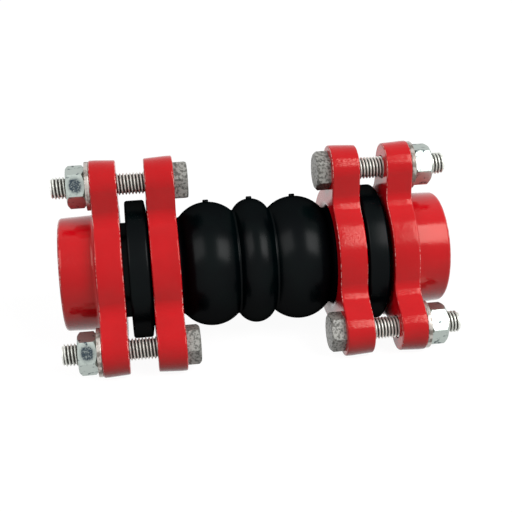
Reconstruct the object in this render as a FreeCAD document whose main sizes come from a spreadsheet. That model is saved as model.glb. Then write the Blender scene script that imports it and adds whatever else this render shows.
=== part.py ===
# Flexible pipe connector: a twin-sphere rubber bellows clamped between bolted flanges.
# The pipe axis is X, Z is up, and the origin is on the axis at the middle of the bellows.
# The connector lies on the two lower lobes of its flanges, with the third lobe on top.

import FreeCAD, Part
import math
import os
import Sketcher

# Driving dimensions in millimetres and degrees, each written once.
SIZES = [
    ("face_to_face", 180.0, "over the two pipe ends"),
    ("rubber_length", 123.0, "bellows over its two sealing faces"),
    ("flow_bore", 32.0, "passage through the rubber"),
    ("wall_thickness", 6.0, "rubber wall in the bulges"),
    ("bulge_spacing", 41.6, "between the crests of the two large bulges"),
    ("bulge_diameter", 59.0, "large bulges over their crests"),
    ("bulge_section_radius", 17.0, "roundness of a large bulge along the pipe"),
    ("middle_diameter", 59.4, "middle bulge over its crest"),
    ("middle_section_radius", 9.2, "roundness of the middle bulge along the pipe"),
    ("valley_round", 0.9, "fillet in the creases between the bulges"),
    ("neck_diameter", 45.6, "rubber neck inside a backing flange"),
    ("neck_round", 3.0, "fillet where a large bulge meets its neck"),
    ("cuff_diameter", 65.0, "clamped rubber cuff"),
    ("cuff_thickness", 10.1, "clamped rubber cuff"),
    ("cuff_relief", 0.8, "gap between the cuff's rim and the backing flange"),
    ("cuff_seat_diameter", 53.0, "flat part of the cuff's back"),
    ("cuff_round", 1.2, "rounded rim of a cuff"),
    ("seal_diameter", 44.6, "raised sealing face"),
    ("seal_rise", 2.4, "raised sealing face above the cuff"),
    ("nib_diameter", 2.8, "mould nib on a crest"),
    ("nib_height", 1.0, "mould nib above its crest"),
    ("nib_round", 0.5, "rounded top of a nib"),
    ("nib_lean", 22.0, "how far the row of nibs leans to the rear"),
    ("disc_diameter", 64.0, "round middle of every flange plate"),
    ("lobe_diameter", 23.0, "round end of a flange lobe"),
    ("lobe_root_round", 8.0, "where a lobe runs into the round middle"),
    ("bolt_circle", 86.5, "circle through the bolt centres"),
    ("arris_round", 0.8, "rounded edges of the castings"),
    ("outer_plate_thickness", 12.0, "plate of a threaded flange"),
    ("backing_plate_thickness", 13.0, "backing flange"),
    ("hub_diameter", 54.0, "hub of a threaded flange at its plate"),
    ("hub_draft", 2.0, "casting draft of the hub"),
    ("hub_end_round", 1.8, "rounded edge of the hub's end"),
    ("hub_root_round", 2.0, "fillet between the hub and its plate"),
    ("thread_bore", 38.95, "minor diameter of the pipe thread"),
    ("thread_depth", 22.0, "pipe thread from the hub's end"),
    ("thread_lead_in", 1.5, "chamfer at the mouth of the pipe thread"),
    ("port_diameter", 35.0, "opening behind the pipe thread"),
    ("port_chamfer", 1.0, "step between the pipe thread and the port"),
    ("rubber_clearance", 0.4, "radial gap round the rubber neck"),
    ("lip_round", 3.0, "rounded lip that the bulge leans on"),
    ("bolt_diameter", 10.0, "metric bolts"),
    ("bolt_length", 55.0, "under the head"),
    ("bolt_hole_clearance", 1.0, "flange hole over the bolt diameter"),
    ("head_across_flats", 16.0, "bolt head"),
    ("head_height", 6.4, "bolt head"),
    ("tip_chamfer", 1.0, "end of the bolt"),
    ("nut_across_flats", 17.0, "nut"),
    ("nut_height", 8.4, "nut"),
    ("nut_clearance", 0.1, "nut bore over the bolt diameter"),
    ("nut_mouth_chamfer", 0.6, "chamfer at both ends of the nut bore"),
    ("hex_corner_drop", 1.2, "height lost at the corners of heads and nuts"),
    ("washer_diameter", 22.0, "flat washer"),
    ("washer_thickness", 2.0, "flat washer"),
    ("washer_clearance", 0.5, "washer hole over the bolt diameter"),
]

# The bolts of one end, by their angle from the top towards the front.
BOLT_PLACES = {"top": 0.0, "front": 120.0, "rear": 240.0}

# How far each head and nut happens to be turned about its own axis, in degrees.
HEAD_TURNS = {
    ("left", "top"): 25.0,
    ("left", "front"): 12.0,
    ("left", "rear"): 40.0,
    ("right", "top"): 19.0,
    ("right", "front"): 55.0,
    ("right", "rear"): 31.0,
}
NUT_TURNS = {
    ("left", "top"): 55.0,
    ("left", "front"): 0.0,
    ("left", "rear"): 18.0,
    ("right", "top"): 0.0,
    ("right", "front"): 52.0,
    ("right", "rear"): 33.0,
}

doc = FreeCAD.newDocument("flexible_pipe_connector")
sheet = doc.addObject("Spreadsheet::Sheet", "Sizes")
for row, (alias, number, note) in enumerate(SIZES, start=1):
    sheet.set(f"A{row}", alias)
    sheet.set(f"B{row}", str(number))
    sheet.set(f"C{row}", note)
    sheet.setAlias(f"B{row}", alias)
doc.recompute()

# Places along the pipe axis, from the middle of the bellows outwards.
SEAL_FACE = "Sizes.rubber_length / 2"
CUFF_FACE = f"({SEAL_FACE} - Sizes.seal_rise)"
CUFF_BACK = f"({CUFF_FACE} - Sizes.cuff_thickness)"
HEAD_SEAT = f"({CUFF_BACK} - Sizes.backing_plate_thickness)"
WASHER_SEAT = f"({SEAL_FACE} + Sizes.outer_plate_thickness)"
NUT_SEAT = f"({WASHER_SEAT} + Sizes.washer_thickness)"
PIPE_END = "Sizes.face_to_face / 2"
CUFF_RIM_BACK = f"({CUFF_BACK} + Sizes.cuff_relief)"

# Two places nearer than this, in millimetres, are the same place.
SAME_PLACE = 1e-3

# Distances from the pipe axis, and the section centres of the bulges.
BOLT_RADIUS = "Sizes.bolt_circle / 2"
NECK_RADIUS = "Sizes.neck_diameter / 2"
NUT_BORE = "(Sizes.bolt_diameter + Sizes.nut_clearance)"
BULGE_CREST = "Sizes.bulge_spacing / 2"
BULGE_CENTRE = "(Sizes.bulge_diameter / 2 - Sizes.bulge_section_radius)"
MIDDLE_CENTRE = "(Sizes.middle_diameter / 2 - Sizes.middle_section_radius)"


def value(expression):
    """The number that an expression over the sheet stands for."""
    result = sheet.evalExpression(expression)
    return float(getattr(result, "Value", result))


def new_body(name):
    body = doc.addObject("PartDesign::Body", name)
    body.Label = name
    return body


def origin_feature(body, role):
    return next(item for item in body.Origin.OriginFeatures if item.Role == role)


def new_sketch(body, name, role, offset=None):
    """A sketch on one of the body's own origin planes, moved along its normal."""
    sketch = body.newObject("Sketcher::SketchObject", name)
    sketch.AttachmentSupport = [(origin_feature(body, role), "")]
    sketch.MapMode = "FlatFace"
    if offset is not None:
        sketch.setExpression(".AttachmentOffset.Base.z", offset)
    return sketch


def bind(sketch, index, name, expression):
    sketch.renameConstraint(index, name)
    sketch.setExpression(f"Constraints.{name}", expression)


def pin_point(sketch, geometry, place, name, x_text, y_text):
    """Ties one point of a sketch to two expressions, or to an axis where one is 0."""
    for letter, kind, axis, text in (("x", "DistanceX", -2, x_text), ("y", "DistanceY", -1, y_text)):
        if text == "0":
            sketch.addConstraint(Sketcher.Constraint("PointOnObject", geometry, place, axis))
            continue
        number = value(text)
        ends = (-1, 1, geometry, place) if number > 0 else (geometry, place, -1, 1)
        index = sketch.addConstraint(Sketcher.Constraint(kind, *ends, abs(number)))
        bind(sketch, index, f"{name}_{letter}", text if number > 0 else f"-({text})")


def draw_polygon(sketch, corners):
    """A closed outline of straight lines through corners given as expressions."""
    points = [FreeCAD.Vector(value(x_text), value(y_text), 0) for x_text, y_text in corners]
    for number, point in enumerate(points):
        sketch.addGeometry(Part.LineSegment(point, points[(number + 1) % len(points)]))
    for number in range(len(points)):
        following = (number + 1) % len(points)
        sketch.addConstraint(Sketcher.Constraint("Coincident", number, 2, following, 1))
    for number, (x_text, y_text) in enumerate(corners):
        pin_point(sketch, number, 1, f"corner{number}", x_text, y_text)


def draw_circle(sketch, x_text, y_text, diameter):
    centre = FreeCAD.Vector(value(x_text), value(y_text), 0)
    circle = Part.Circle(centre, FreeCAD.Vector(0, 0, 1), value(diameter) / 2)
    number = sketch.addGeometry(circle)
    pin_point(sketch, number, 3, f"centre{number}", x_text, y_text)
    index = sketch.addConstraint(Sketcher.Constraint("Diameter", number, value(diameter)))
    bind(sketch, index, f"diameter{number}", diameter)


def draw_hexagon(sketch, across_flats):
    """A regular hexagon round the origin, with one corner on the sketch's x axis."""
    corner_radius = value(across_flats) / math.sqrt(3)
    points = [
        FreeCAD.Vector(corner_radius * math.cos(turn), corner_radius * math.sin(turn), 0)
        for turn in (math.radians(60 * side) for side in range(6))
    ]
    for side in range(6):
        sketch.addGeometry(Part.LineSegment(points[side], points[(side + 1) % 6]))
    guide = sketch.addGeometry(
        Part.Circle(FreeCAD.Vector(0, 0, 0), FreeCAD.Vector(0, 0, 1), corner_radius), True
    )
    sketch.addConstraint(Sketcher.Constraint("Coincident", guide, 3, -1, 1))
    for side in range(6):
        sketch.addConstraint(Sketcher.Constraint("Coincident", side, 2, (side + 1) % 6, 1))
        sketch.addConstraint(Sketcher.Constraint("PointOnObject", side, 1, guide))
    for side in range(1, 6):
        sketch.addConstraint(Sketcher.Constraint("Equal", 0, side))
    sketch.addConstraint(Sketcher.Constraint("PointOnObject", 0, 1, -1))
    index = sketch.addConstraint(Sketcher.Constraint("Diameter", guide, 2 * corner_radius))
    bind(sketch, index, "across_corners", f"{across_flats} / cos(30 deg)")


def add_pad(body, sketch, name, length):
    pad = body.newObject("PartDesign::Pad", name)
    pad.Profile = sketch
    pad.setExpression("Length", length)
    doc.recompute()
    return pad


def add_turned(body, sketch, name, kind):
    """A Revolution or Groove of a sketch about its own x axis, which is the pipe axis."""
    before = body.Shape.Volume if kind == "Groove" else 0.0
    turned = body.newObject(f"PartDesign::{kind}", name)
    turned.Profile = sketch
    turned.ReferenceAxis = (sketch, ["H_Axis"])
    turned.Angle = 360.0
    doc.recompute()
    if kind == "Groove" and not body.Shape.Volume < before:
        raise RuntimeError(f"{body.Label}: {name} cuts nothing")
    return turned


def add_pocket(body, sketch, name):
    """A cut right through the body, along the sketch's normal and against it."""
    before = body.Shape.Volume
    pocket = body.newObject("PartDesign::Pocket", name)
    pocket.Profile = sketch
    pocket.Type = "ThroughAll"
    pocket.Midplane = True
    doc.recompute()
    if not body.Shape.Volume < before:
        raise RuntimeError(f"{body.Label}: {name} cuts nothing")
    return pocket


def repeat_round_axis(body, feature, name):
    """The same feature once for each bolt of an end."""
    pattern = body.newObject("PartDesign::PolarPattern", name)
    pattern.Originals = [feature]
    pattern.Axis = (origin_feature(body, "X_Axis"), [""])
    pattern.Angle = 360.0
    pattern.Occurrences = len(BOLT_PLACES)
    body.Tip = pattern
    doc.recompute()
    return pattern


def edges_where(body, test):
    return [f"Edge{number}" for number, edge in enumerate(body.Shape.Edges, start=1) if test(edge)]


def dress_edges(body, kind, name, size, test):
    """A Fillet or Chamfer of this size on every edge that passes the test."""
    edges = edges_where(body, test)
    if not edges:
        raise RuntimeError(f"{body.Label}: no edge for {name}")
    base = body.Tip
    feature = body.newObject(f"PartDesign::{kind}", name)
    feature.Base = (base, edges)
    feature.setExpression("Radius" if kind == "Fillet" else "Size", size)
    doc.recompute()
    return feature


def near(first, second):
    return abs(first - second) < SAME_PLACE


def distance_from_axis(point):
    return math.hypot(point.y, point.z)


def is_ring(edge, x_text, diameter):
    """True for a circle round the pipe axis at this place and diameter."""
    curve = edge.Curve
    if not isinstance(curve, Part.Circle):
        return False
    centred = near(curve.Center.y, 0) and near(curve.Center.z, 0)
    return centred and near(curve.Center.x, value(x_text)) and near(2 * curve.Radius, value(diameter))


def lies_in_face(edge, x_text):
    """True for an edge that lies wholly in the plane across the pipe at this place."""
    x_place = value(x_text)
    return near(edge.BoundBox.XMin, x_place) and near(edge.BoundBox.XMax, x_place)


def in_plate_outline(edge, x_text):
    """True for an edge of a plate's outline in one of its two faces."""
    if not lies_in_face(edge, x_text):
        return False
    start = edge.valueAt(edge.FirstParameter)
    hole_radius = value("(Sizes.bolt_diameter + Sizes.bolt_hole_clearance) / 2")
    if isinstance(edge.Curve, Part.Circle) and near(edge.Curve.Radius, hole_radius):
        return False
    return distance_from_axis(start) > value("Sizes.disc_diameter / 2") - SAME_PLACE


def build_plate(body, near_face, thickness):
    """A round disc with one lobe for each bolt, from near_face outwards, without its holes."""
    disc = new_sketch(body, "DiscOutline", "YZ_Plane", near_face)
    draw_circle(disc, "0", "0", "Sizes.disc_diameter")
    add_pad(body, disc, "Disc", thickness)

    lobe = new_sketch(body, "LobeOutline", "YZ_Plane", near_face)
    half_width = "Sizes.lobe_diameter / 2"
    half, reach = value(half_width), value(BOLT_RADIUS)
    start, tip = FreeCAD.Vector(half, 0, 0), FreeCAD.Vector(half, reach, 0)
    far_tip, far_start = FreeCAD.Vector(-half, reach, 0), FreeCAD.Vector(-half, 0, 0)
    end_circle = Part.Circle(FreeCAD.Vector(0, reach, 0), FreeCAD.Vector(0, 0, 1), half)
    lobe.addGeometry(Part.LineSegment(start, tip))
    lobe.addGeometry(Part.ArcOfCircle(end_circle, 0, math.pi))
    lobe.addGeometry(Part.LineSegment(far_tip, far_start))
    lobe.addGeometry(Part.LineSegment(far_start, start))
    lobe.addConstraint(Sketcher.Constraint("Tangent", 0, 2, 1, 1))
    lobe.addConstraint(Sketcher.Constraint("Tangent", 1, 2, 2, 1))
    lobe.addConstraint(Sketcher.Constraint("Coincident", 2, 2, 3, 1))
    lobe.addConstraint(Sketcher.Constraint("Coincident", 3, 2, 0, 1))
    lobe.addConstraint(Sketcher.Constraint("Vertical", 0))
    lobe.addConstraint(Sketcher.Constraint("Vertical", 2))
    lobe.addConstraint(Sketcher.Constraint("PointOnObject", 0, 1, -1))
    lobe.addConstraint(Sketcher.Constraint("Horizontal", 3))
    pin_point(lobe, 1, 3, "bolt", "0", BOLT_RADIUS)
    index = lobe.addConstraint(Sketcher.Constraint("Radius", 1, half))
    bind(lobe, index, "lobe_radius", half_width)
    lobe_pad = add_pad(body, lobe, "Lobe", thickness)
    repeat_round_axis(body, lobe_pad, "Lobes")

    disc_radius = value("Sizes.disc_diameter / 2")

    def is_lobe_root(edge):
        ends = [vertex.Point for vertex in edge.Vertexes]
        along_pipe = len(ends) == 2 and near(ends[0].y, ends[1].y) and near(ends[0].z, ends[1].z)
        return along_pipe and near(distance_from_axis(ends[0]), disc_radius)

    dress_edges(body, "Fillet", "LobeRoots", "Sizes.lobe_root_round", is_lobe_root)


def cut_bolt_holes(body):
    hole = new_sketch(body, "HoleOutline", "YZ_Plane")
    draw_circle(hole, "0", BOLT_RADIUS, "Sizes.bolt_diameter + Sizes.bolt_hole_clearance")
    first_hole = add_pocket(body, hole, "Hole")
    repeat_round_axis(body, first_hole, "Holes")


def build_threaded_flange(name):
    """An outer flange: plate, tapering hub, and the bore with its pipe thread."""
    body = new_body(name)
    build_plate(body, SEAL_FACE, "Sizes.outer_plate_thickness")

    hub_length = f"({PIPE_END} - {WASHER_SEAT})"
    hub_end_radius = f"(Sizes.hub_diameter / 2 - {hub_length} * tan(Sizes.hub_draft * 1 deg))"
    hub = new_sketch(body, "HubProfile", "XY_Plane")
    draw_polygon(hub, [
        (SEAL_FACE, "0"),
        (SEAL_FACE, "Sizes.hub_diameter / 2"),
        (WASHER_SEAT, "Sizes.hub_diameter / 2"),
        (PIPE_END, hub_end_radius),
        (PIPE_END, "0"),
    ])
    add_turned(body, hub, "Hub", "Revolution")

    thread_end = f"({PIPE_END} - Sizes.thread_depth)"
    thread_radius = "Sizes.thread_bore / 2"
    port_radius = "Sizes.port_diameter / 2"
    passage = new_sketch(body, "PassageProfile", "XY_Plane")
    draw_polygon(passage, [
        (SEAL_FACE, "0"),
        (SEAL_FACE, port_radius),
        (f"({thread_end} - Sizes.port_chamfer)", port_radius),
        (thread_end, thread_radius),
        (f"({PIPE_END} - Sizes.thread_lead_in)", thread_radius),
        (PIPE_END, f"({thread_radius} + Sizes.thread_lead_in)"),
        (PIPE_END, "0"),
    ])
    add_turned(body, passage, "Passage", "Groove")
    cut_bolt_holes(body)

    dress_edges(body, "Fillet", "PlateEdges", "Sizes.arris_round", lambda edge:
                in_plate_outline(edge, SEAL_FACE) or in_plate_outline(edge, WASHER_SEAT))
    dress_edges(body, "Fillet", "HubRoot", "Sizes.hub_root_round", lambda edge:
                is_ring(edge, WASHER_SEAT, "Sizes.hub_diameter"))
    dress_edges(body, "Fillet", "HubEnd", "Sizes.hub_end_round", lambda edge:
                is_ring(edge, PIPE_END, f"2 * {hub_end_radius}"))
    return body


def build_backing_flange(name):
    """A loose flange behind the cuff, with a rounded lip towards the bulge."""
    body = new_body(name)
    build_plate(body, HEAD_SEAT, "Sizes.backing_plate_thickness")
    bore = "(Sizes.neck_diameter + 2 * Sizes.rubber_clearance)"
    opening = new_sketch(body, "BoreOutline", "YZ_Plane")
    draw_circle(opening, "0", "0", bore)
    add_pocket(body, opening, "Bore")
    cut_bolt_holes(body)
    dress_edges(body, "Fillet", "PlateEdges", "Sizes.arris_round", lambda edge:
                in_plate_outline(edge, HEAD_SEAT) or in_plate_outline(edge, CUFF_BACK))
    dress_edges(body, "Fillet", "Lip", "Sizes.lip_round", lambda edge: is_ring(edge, HEAD_SEAT, bore))
    return body


def tie_ends(sketch, pairs):
    """Joins ends of pieces: each pair holds two (piece, end) places, end 1 or 2."""
    for (piece, end), (other, other_end) in pairs:
        sketch.addConstraint(Sketcher.Constraint("Coincident", piece, end, other, other_end))


def set_radius(sketch, piece, name, radius_text):
    index = sketch.addConstraint(Sketcher.Constraint("Radius", piece, value(radius_text)))
    bind(sketch, index, name, radius_text)


def section_arc(centre, radius, first, last):
    """The anticlockwise arc round centre from the direction of first to that of last."""
    turns = [math.atan2(point.y - centre.y, point.x - centre.x) for point in (first, last)]
    return Part.ArcOfCircle(Part.Circle(centre, FreeCAD.Vector(0, 0, 1), radius), *turns)


def upper_crossing(first_centre, first_radius, second_centre, second_radius):
    """The upper of the two points where two circles meet."""
    between = second_centre - first_centre
    gap = between.Length
    along = (gap ** 2 + first_radius ** 2 - second_radius ** 2) / (2 * gap)
    rise = math.sqrt(first_radius ** 2 - along ** 2)
    unit = between * (1 / gap)
    return first_centre + unit * along + FreeCAD.Vector(-unit.y, unit.x, 0) * rise


def bulge_centre():
    return FreeCAD.Vector(value(BULGE_CREST), value(BULGE_CENTRE), 0)


def middle_centre():
    return FreeCAD.Vector(0, value(MIDDLE_CENTRE), 0)


def crease_place():
    """Where the sections of the middle bulge and the right-hand large one meet outside."""
    middle_radius = value("Sizes.middle_section_radius")
    bulge_radius = value("Sizes.bulge_section_radius")
    return upper_crossing(middle_centre(), middle_radius, bulge_centre(), bulge_radius)


def draw_rubber_outside(sketch):
    """Half of the rubber's outside, from the middle to one sealing face."""
    bulge, middle, valley = bulge_centre(), middle_centre(), crease_place()
    bulge_radius = value("Sizes.bulge_section_radius")
    middle_radius = value("Sizes.middle_section_radius")
    neck = value(NECK_RADIUS)
    foot = bulge + FreeCAD.Vector(math.sqrt(bulge_radius ** 2 - (neck - bulge.y) ** 2), neck - bulge.y, 0)
    crest = middle + FreeCAD.Vector(0, middle_radius, 0)

    corners = [
        ("0", "0"),
        (SEAL_FACE, "0"),
        (SEAL_FACE, "Sizes.seal_diameter / 2"),
        (CUFF_FACE, "Sizes.seal_diameter / 2"),
        (CUFF_FACE, "Sizes.cuff_diameter / 2"),
        (CUFF_RIM_BACK, "Sizes.cuff_diameter / 2"),
        (CUFF_BACK, "Sizes.cuff_seat_diameter / 2"),
        (CUFF_BACK, NECK_RADIUS),
    ]
    points = [FreeCAD.Vector(value(x_text), value(y_text), 0) for x_text, y_text in corners]
    points.append(foot)
    for first, last in zip(points, points[1:]):
        sketch.addGeometry(Part.LineSegment(first, last))
    neck_line = len(corners) - 1
    bulge_arc = sketch.addGeometry(section_arc(bulge, bulge_radius, foot, valley))
    middle_arc = sketch.addGeometry(section_arc(middle, middle_radius, valley, crest))
    closing = sketch.addGeometry(Part.LineSegment(crest, points[0]))
    pieces = list(range(closing + 1))
    tie_ends(sketch, [((piece, 2), ((piece + 1) % len(pieces), 1)) for piece in pieces])
    for number, (x_text, y_text) in enumerate(corners):
        pin_point(sketch, number, 1, f"corner{number}", x_text, y_text)
    sketch.addConstraint(Sketcher.Constraint("Horizontal", neck_line))
    pin_point(sketch, bulge_arc, 3, "bulge_centre", BULGE_CREST, BULGE_CENTRE)
    pin_point(sketch, middle_arc, 3, "middle_centre", "0", MIDDLE_CENTRE)
    set_radius(sketch, bulge_arc, "bulge_radius", "Sizes.bulge_section_radius")
    set_radius(sketch, middle_arc, "middle_radius", "Sizes.middle_section_radius")
    sketch.addConstraint(Sketcher.Constraint("PointOnObject", middle_arc, 2, -2))


def draw_rubber_inside(sketch):
    """Half of the passage, one wall thickness inside the bulges and their creases."""
    bulge, middle, valley = bulge_centre(), middle_centre(), crease_place()
    wall = value("Sizes.wall_thickness")
    bulge_radius = value("Sizes.bulge_section_radius") - wall
    middle_radius = value("Sizes.middle_section_radius") - wall
    bore = value("Sizes.flow_bore / 2")
    foot = bulge + FreeCAD.Vector(math.sqrt(bulge_radius ** 2 - (bore - bulge.y) ** 2), bore - bulge.y, 0)
    crest = middle + FreeCAD.Vector(0, middle_radius, 0)

    corners = [("0", "0"), (SEAL_FACE, "0"), (SEAL_FACE, "Sizes.flow_bore / 2")]
    points = [FreeCAD.Vector(value(x_text), value(y_text), 0) for x_text, y_text in corners]
    points.append(foot)
    for first, last in zip(points, points[1:]):
        sketch.addGeometry(Part.LineSegment(first, last))
    bore_line = len(corners) - 1
    bulge_arc = sketch.addGeometry(section_arc(bulge, bulge_radius, foot, valley))
    ridge_arc = sketch.addGeometry(section_arc(valley, wall, middle, bulge))
    middle_arc = sketch.addGeometry(section_arc(middle, middle_radius, valley, crest))
    closing = sketch.addGeometry(Part.LineSegment(crest, points[0]))
    tie_ends(sketch, [((piece, 2), (piece + 1, 1)) for piece in range(bulge_arc)])
    tie_ends(sketch, [((middle_arc, 2), (closing, 1)), ((closing, 2), (0, 1))])
    sketch.addConstraint(Sketcher.Constraint("Tangent", bulge_arc, 2, ridge_arc, 2))
    sketch.addConstraint(Sketcher.Constraint("Tangent", ridge_arc, 1, middle_arc, 1))
    for number, (x_text, y_text) in enumerate(corners):
        pin_point(sketch, number, 1, f"corner{number}", x_text, y_text)
    sketch.addConstraint(Sketcher.Constraint("Horizontal", bore_line))
    pin_point(sketch, bulge_arc, 3, "bulge_centre", BULGE_CREST, BULGE_CENTRE)
    pin_point(sketch, middle_arc, 3, "middle_centre", "0", MIDDLE_CENTRE)
    set_radius(sketch, bulge_arc, "bulge_radius", "Sizes.bulge_section_radius - Sizes.wall_thickness")
    set_radius(sketch, ridge_arc, "ridge_radius", "Sizes.wall_thickness")
    set_radius(sketch, middle_arc, "middle_radius", "Sizes.middle_section_radius - Sizes.wall_thickness")
    sketch.addConstraint(Sketcher.Constraint("PointOnObject", middle_arc, 2, -2))


def is_crease(edge):
    """True for the two sharp rings outside, between the middle bulge and the large ones."""
    if not isinstance(edge.Curve, Part.Circle):
        return False
    crease = crease_place()
    return near(abs(edge.Curve.Center.x), crease.x) and near(edge.Curve.Radius, crease.y)


def is_either_ring(edge, x_text, diameter):
    return is_ring(edge, x_text, diameter) or is_ring(edge, f"-{x_text}", diameter)


def build_rubber_bellows(name):
    """The moulded rubber: sealing faces, cuffs, necks, three bulges and three nibs."""
    body = new_body(name)
    outside = new_sketch(body, "OutsideProfile", "XY_Plane")
    draw_rubber_outside(outside)
    skin = add_turned(body, outside, "Outside", "Revolution")
    inside = new_sketch(body, "PassageProfile", "XY_Plane")
    draw_rubber_inside(inside)
    hollow = add_turned(body, inside, "Passage", "Groove")
    both_halves = body.newObject("PartDesign::Mirrored", "BothHalves")
    both_halves.Originals = [skin, hollow]
    both_halves.MirrorPlane = (origin_feature(body, "YZ_Plane"), [""])
    body.Tip = both_halves
    doc.recompute()

    neck_diameter = "2 * " + NECK_RADIUS
    dress_edges(body, "Fillet", "Creases", "Sizes.valley_round", is_crease)
    dress_edges(body, "Fillet", "NeckRoots", "Sizes.neck_round", lambda edge:
                isinstance(edge.Curve, Part.Circle)
                and near(2 * edge.Curve.Radius, value(neck_diameter))
                and abs(edge.Curve.Center.x) > value(BULGE_CREST)
                and not near(abs(edge.Curve.Center.x), value(CUFF_BACK)))
    dress_edges(body, "Fillet", "CuffRims", "Sizes.cuff_round", lambda edge:
                is_either_ring(edge, CUFF_FACE, "Sizes.cuff_diameter")
                or is_either_ring(edge, CUFF_RIM_BACK, "Sizes.cuff_diameter"))

    for place, x_text, diameter in (
        ("Left", f"-{BULGE_CREST}", "Sizes.bulge_diameter"),
        ("Middle", "0", "Sizes.middle_diameter"),
        ("Right", BULGE_CREST, "Sizes.bulge_diameter"),
    ):
        root = f"({diameter} - Sizes.wall_thickness) / 2"
        nib = new_sketch(body, f"{place}NibOutline", "XY_Plane", root)
        draw_circle(nib, x_text, "0", "Sizes.nib_diameter")
        add_pad(body, nib, f"{place}Nib", "Sizes.wall_thickness / 2 + Sizes.nib_height")
    dress_edges(body, "Fillet", "NibTops", "Sizes.nib_round", lambda edge:
                isinstance(edge.Curve, Part.Circle)
                and near(2 * edge.Curve.Radius, value("Sizes.nib_diameter"))
                and near(edge.BoundBox.ZMin, edge.BoundBox.ZMax))
    lean = FreeCAD.Rotation(FreeCAD.Vector(-1, 0, 0), value("Sizes.nib_lean"))
    body.Placement = FreeCAD.Placement(FreeCAD.Vector(0, 0, 0), lean)
    body.setExpression("Placement.Rotation.Angle", "Sizes.nib_lean * 1 deg")
    return body


def cut_hex_corners(body, name, across_flats, end_x, inward):
    """Chamfers the six corners at one end: inward is 1 where the solid lies towards +X."""
    flat_radius = f"{across_flats} / 2"
    corner_radius = f"{across_flats} / (2 * cos(30 deg))"
    clear_radius = f"({corner_radius} + Sizes.hex_corner_drop)"
    slope = f"Sizes.hex_corner_drop / ({corner_radius} - {flat_radius})"
    far_x = f"({end_x} + {inward} * {slope} * ({clear_radius} - {flat_radius}))"
    profile = new_sketch(body, f"{name}Profile", "XY_Plane")
    draw_polygon(profile, [(end_x, flat_radius), (end_x, clear_radius), (far_x, clear_radius)])
    add_turned(body, profile, name, "Groove")


def build_bolt(name):
    """A hexagon bolt with full thread: its seat at x = 0 and its shank along +X."""
    body = new_body(name)
    head = new_sketch(body, "HeadOutline", "YZ_Plane", "-Sizes.head_height")
    draw_hexagon(head, "Sizes.head_across_flats")
    add_pad(body, head, "Head", "Sizes.head_height")
    cut_hex_corners(body, "HeadChamfer", "Sizes.head_across_flats", "-Sizes.head_height", 1)
    shank = new_sketch(body, "ShankOutline", "YZ_Plane")
    draw_circle(shank, "0", "0", "Sizes.bolt_diameter")
    add_pad(body, shank, "Shank", "Sizes.bolt_length")
    dress_edges(body, "Chamfer", "Tip", "Sizes.tip_chamfer", lambda edge:
                is_ring(edge, "Sizes.bolt_length", "Sizes.bolt_diameter"))
    return body


def build_nut(name):
    """A hexagon nut with both ends chamfered: its seat at x = 0 and its body along +X."""
    body = new_body(name)
    outline = new_sketch(body, "NutOutline", "YZ_Plane")
    draw_hexagon(outline, "Sizes.nut_across_flats")
    add_pad(body, outline, "Blank", "Sizes.nut_height")
    cut_hex_corners(body, "SeatChamfer", "Sizes.nut_across_flats", "0", 1)
    cut_hex_corners(body, "EndChamfer", "Sizes.nut_across_flats", "Sizes.nut_height", -1)
    bore = new_sketch(body, "BoreOutline", "YZ_Plane")
    draw_circle(bore, "0", "0", NUT_BORE)
    add_pocket(body, bore, "Bore")
    dress_edges(body, "Chamfer", "Mouths", "Sizes.nut_mouth_chamfer", lambda edge:
                is_ring(edge, "0", NUT_BORE) or is_ring(edge, "Sizes.nut_height", NUT_BORE))
    return body


def build_washer(name):
    body = new_body(name)
    outline = new_sketch(body, "WasherOutline", "YZ_Plane")
    draw_circle(outline, "0", "0", "Sizes.washer_diameter")
    draw_circle(outline, "0", "0", "Sizes.bolt_diameter + Sizes.washer_clearance")
    add_pad(body, outline, "Washer", "Sizes.washer_thickness")
    return body


def place_on_end(body, side, x_text, place_angle=None, turn=0.0):
    """Puts a piece at its end of the connector, on the pipe axis or on one of the bolts."""
    about_pipe = FreeCAD.Rotation(FreeCAD.Vector(1, 0, 0), turn)
    half_turn = FreeCAD.Rotation(FreeCAD.Vector(0, 0, 1), 180.0 if side == "left" else 0.0)
    body.Placement = FreeCAD.Placement(FreeCAD.Vector(0, 0, 0), half_turn * about_pipe)
    if x_text is not None:
        sign = "-" if side == "left" else ""
        body.setExpression("Placement.Base.x", f"{sign}({x_text})")
    if place_angle is not None:
        body.setExpression("Placement.Base.y", f"-{BOLT_RADIUS} * sin({place_angle} deg)")
        body.setExpression("Placement.Base.z", f"{BOLT_RADIUS} * cos({place_angle} deg)")


def build_end(side):
    """All the metal of one end: two flanges and the fasteners that clamp the cuff."""
    pieces = [
        build_threaded_flange(f"{side}_threaded_flange"),
        build_backing_flange(f"{side}_backing_flange"),
    ]
    for flange in pieces:
        place_on_end(flange, side, None)
    for place, angle in BOLT_PLACES.items():
        bolt = build_bolt(f"{side}_{place}_bolt")
        place_on_end(bolt, side, HEAD_SEAT, angle, HEAD_TURNS[side, place])
        washer = build_washer(f"{side}_{place}_washer")
        place_on_end(washer, side, WASHER_SEAT, angle)
        nut = build_nut(f"{side}_{place}_nut")
        place_on_end(nut, side, NUT_SEAT, angle, NUT_TURNS[side, place])
        pieces += [bolt, washer, nut]
    return pieces


def check_document(pieces):
    """Stops the build where an object failed or a piece isn't one sound solid."""
    failed = [item.Name for item in doc.Objects if "Invalid" in item.State or "Error" in item.State]
    if failed:
        raise RuntimeError(f"failed objects: {failed}")
    for piece in pieces:
        shape = piece.Shape
        if shape.isNull() or not shape.isValid() or len(shape.Solids) != 1:
            raise RuntimeError(f"{piece.Label} isn't one valid solid")


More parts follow.
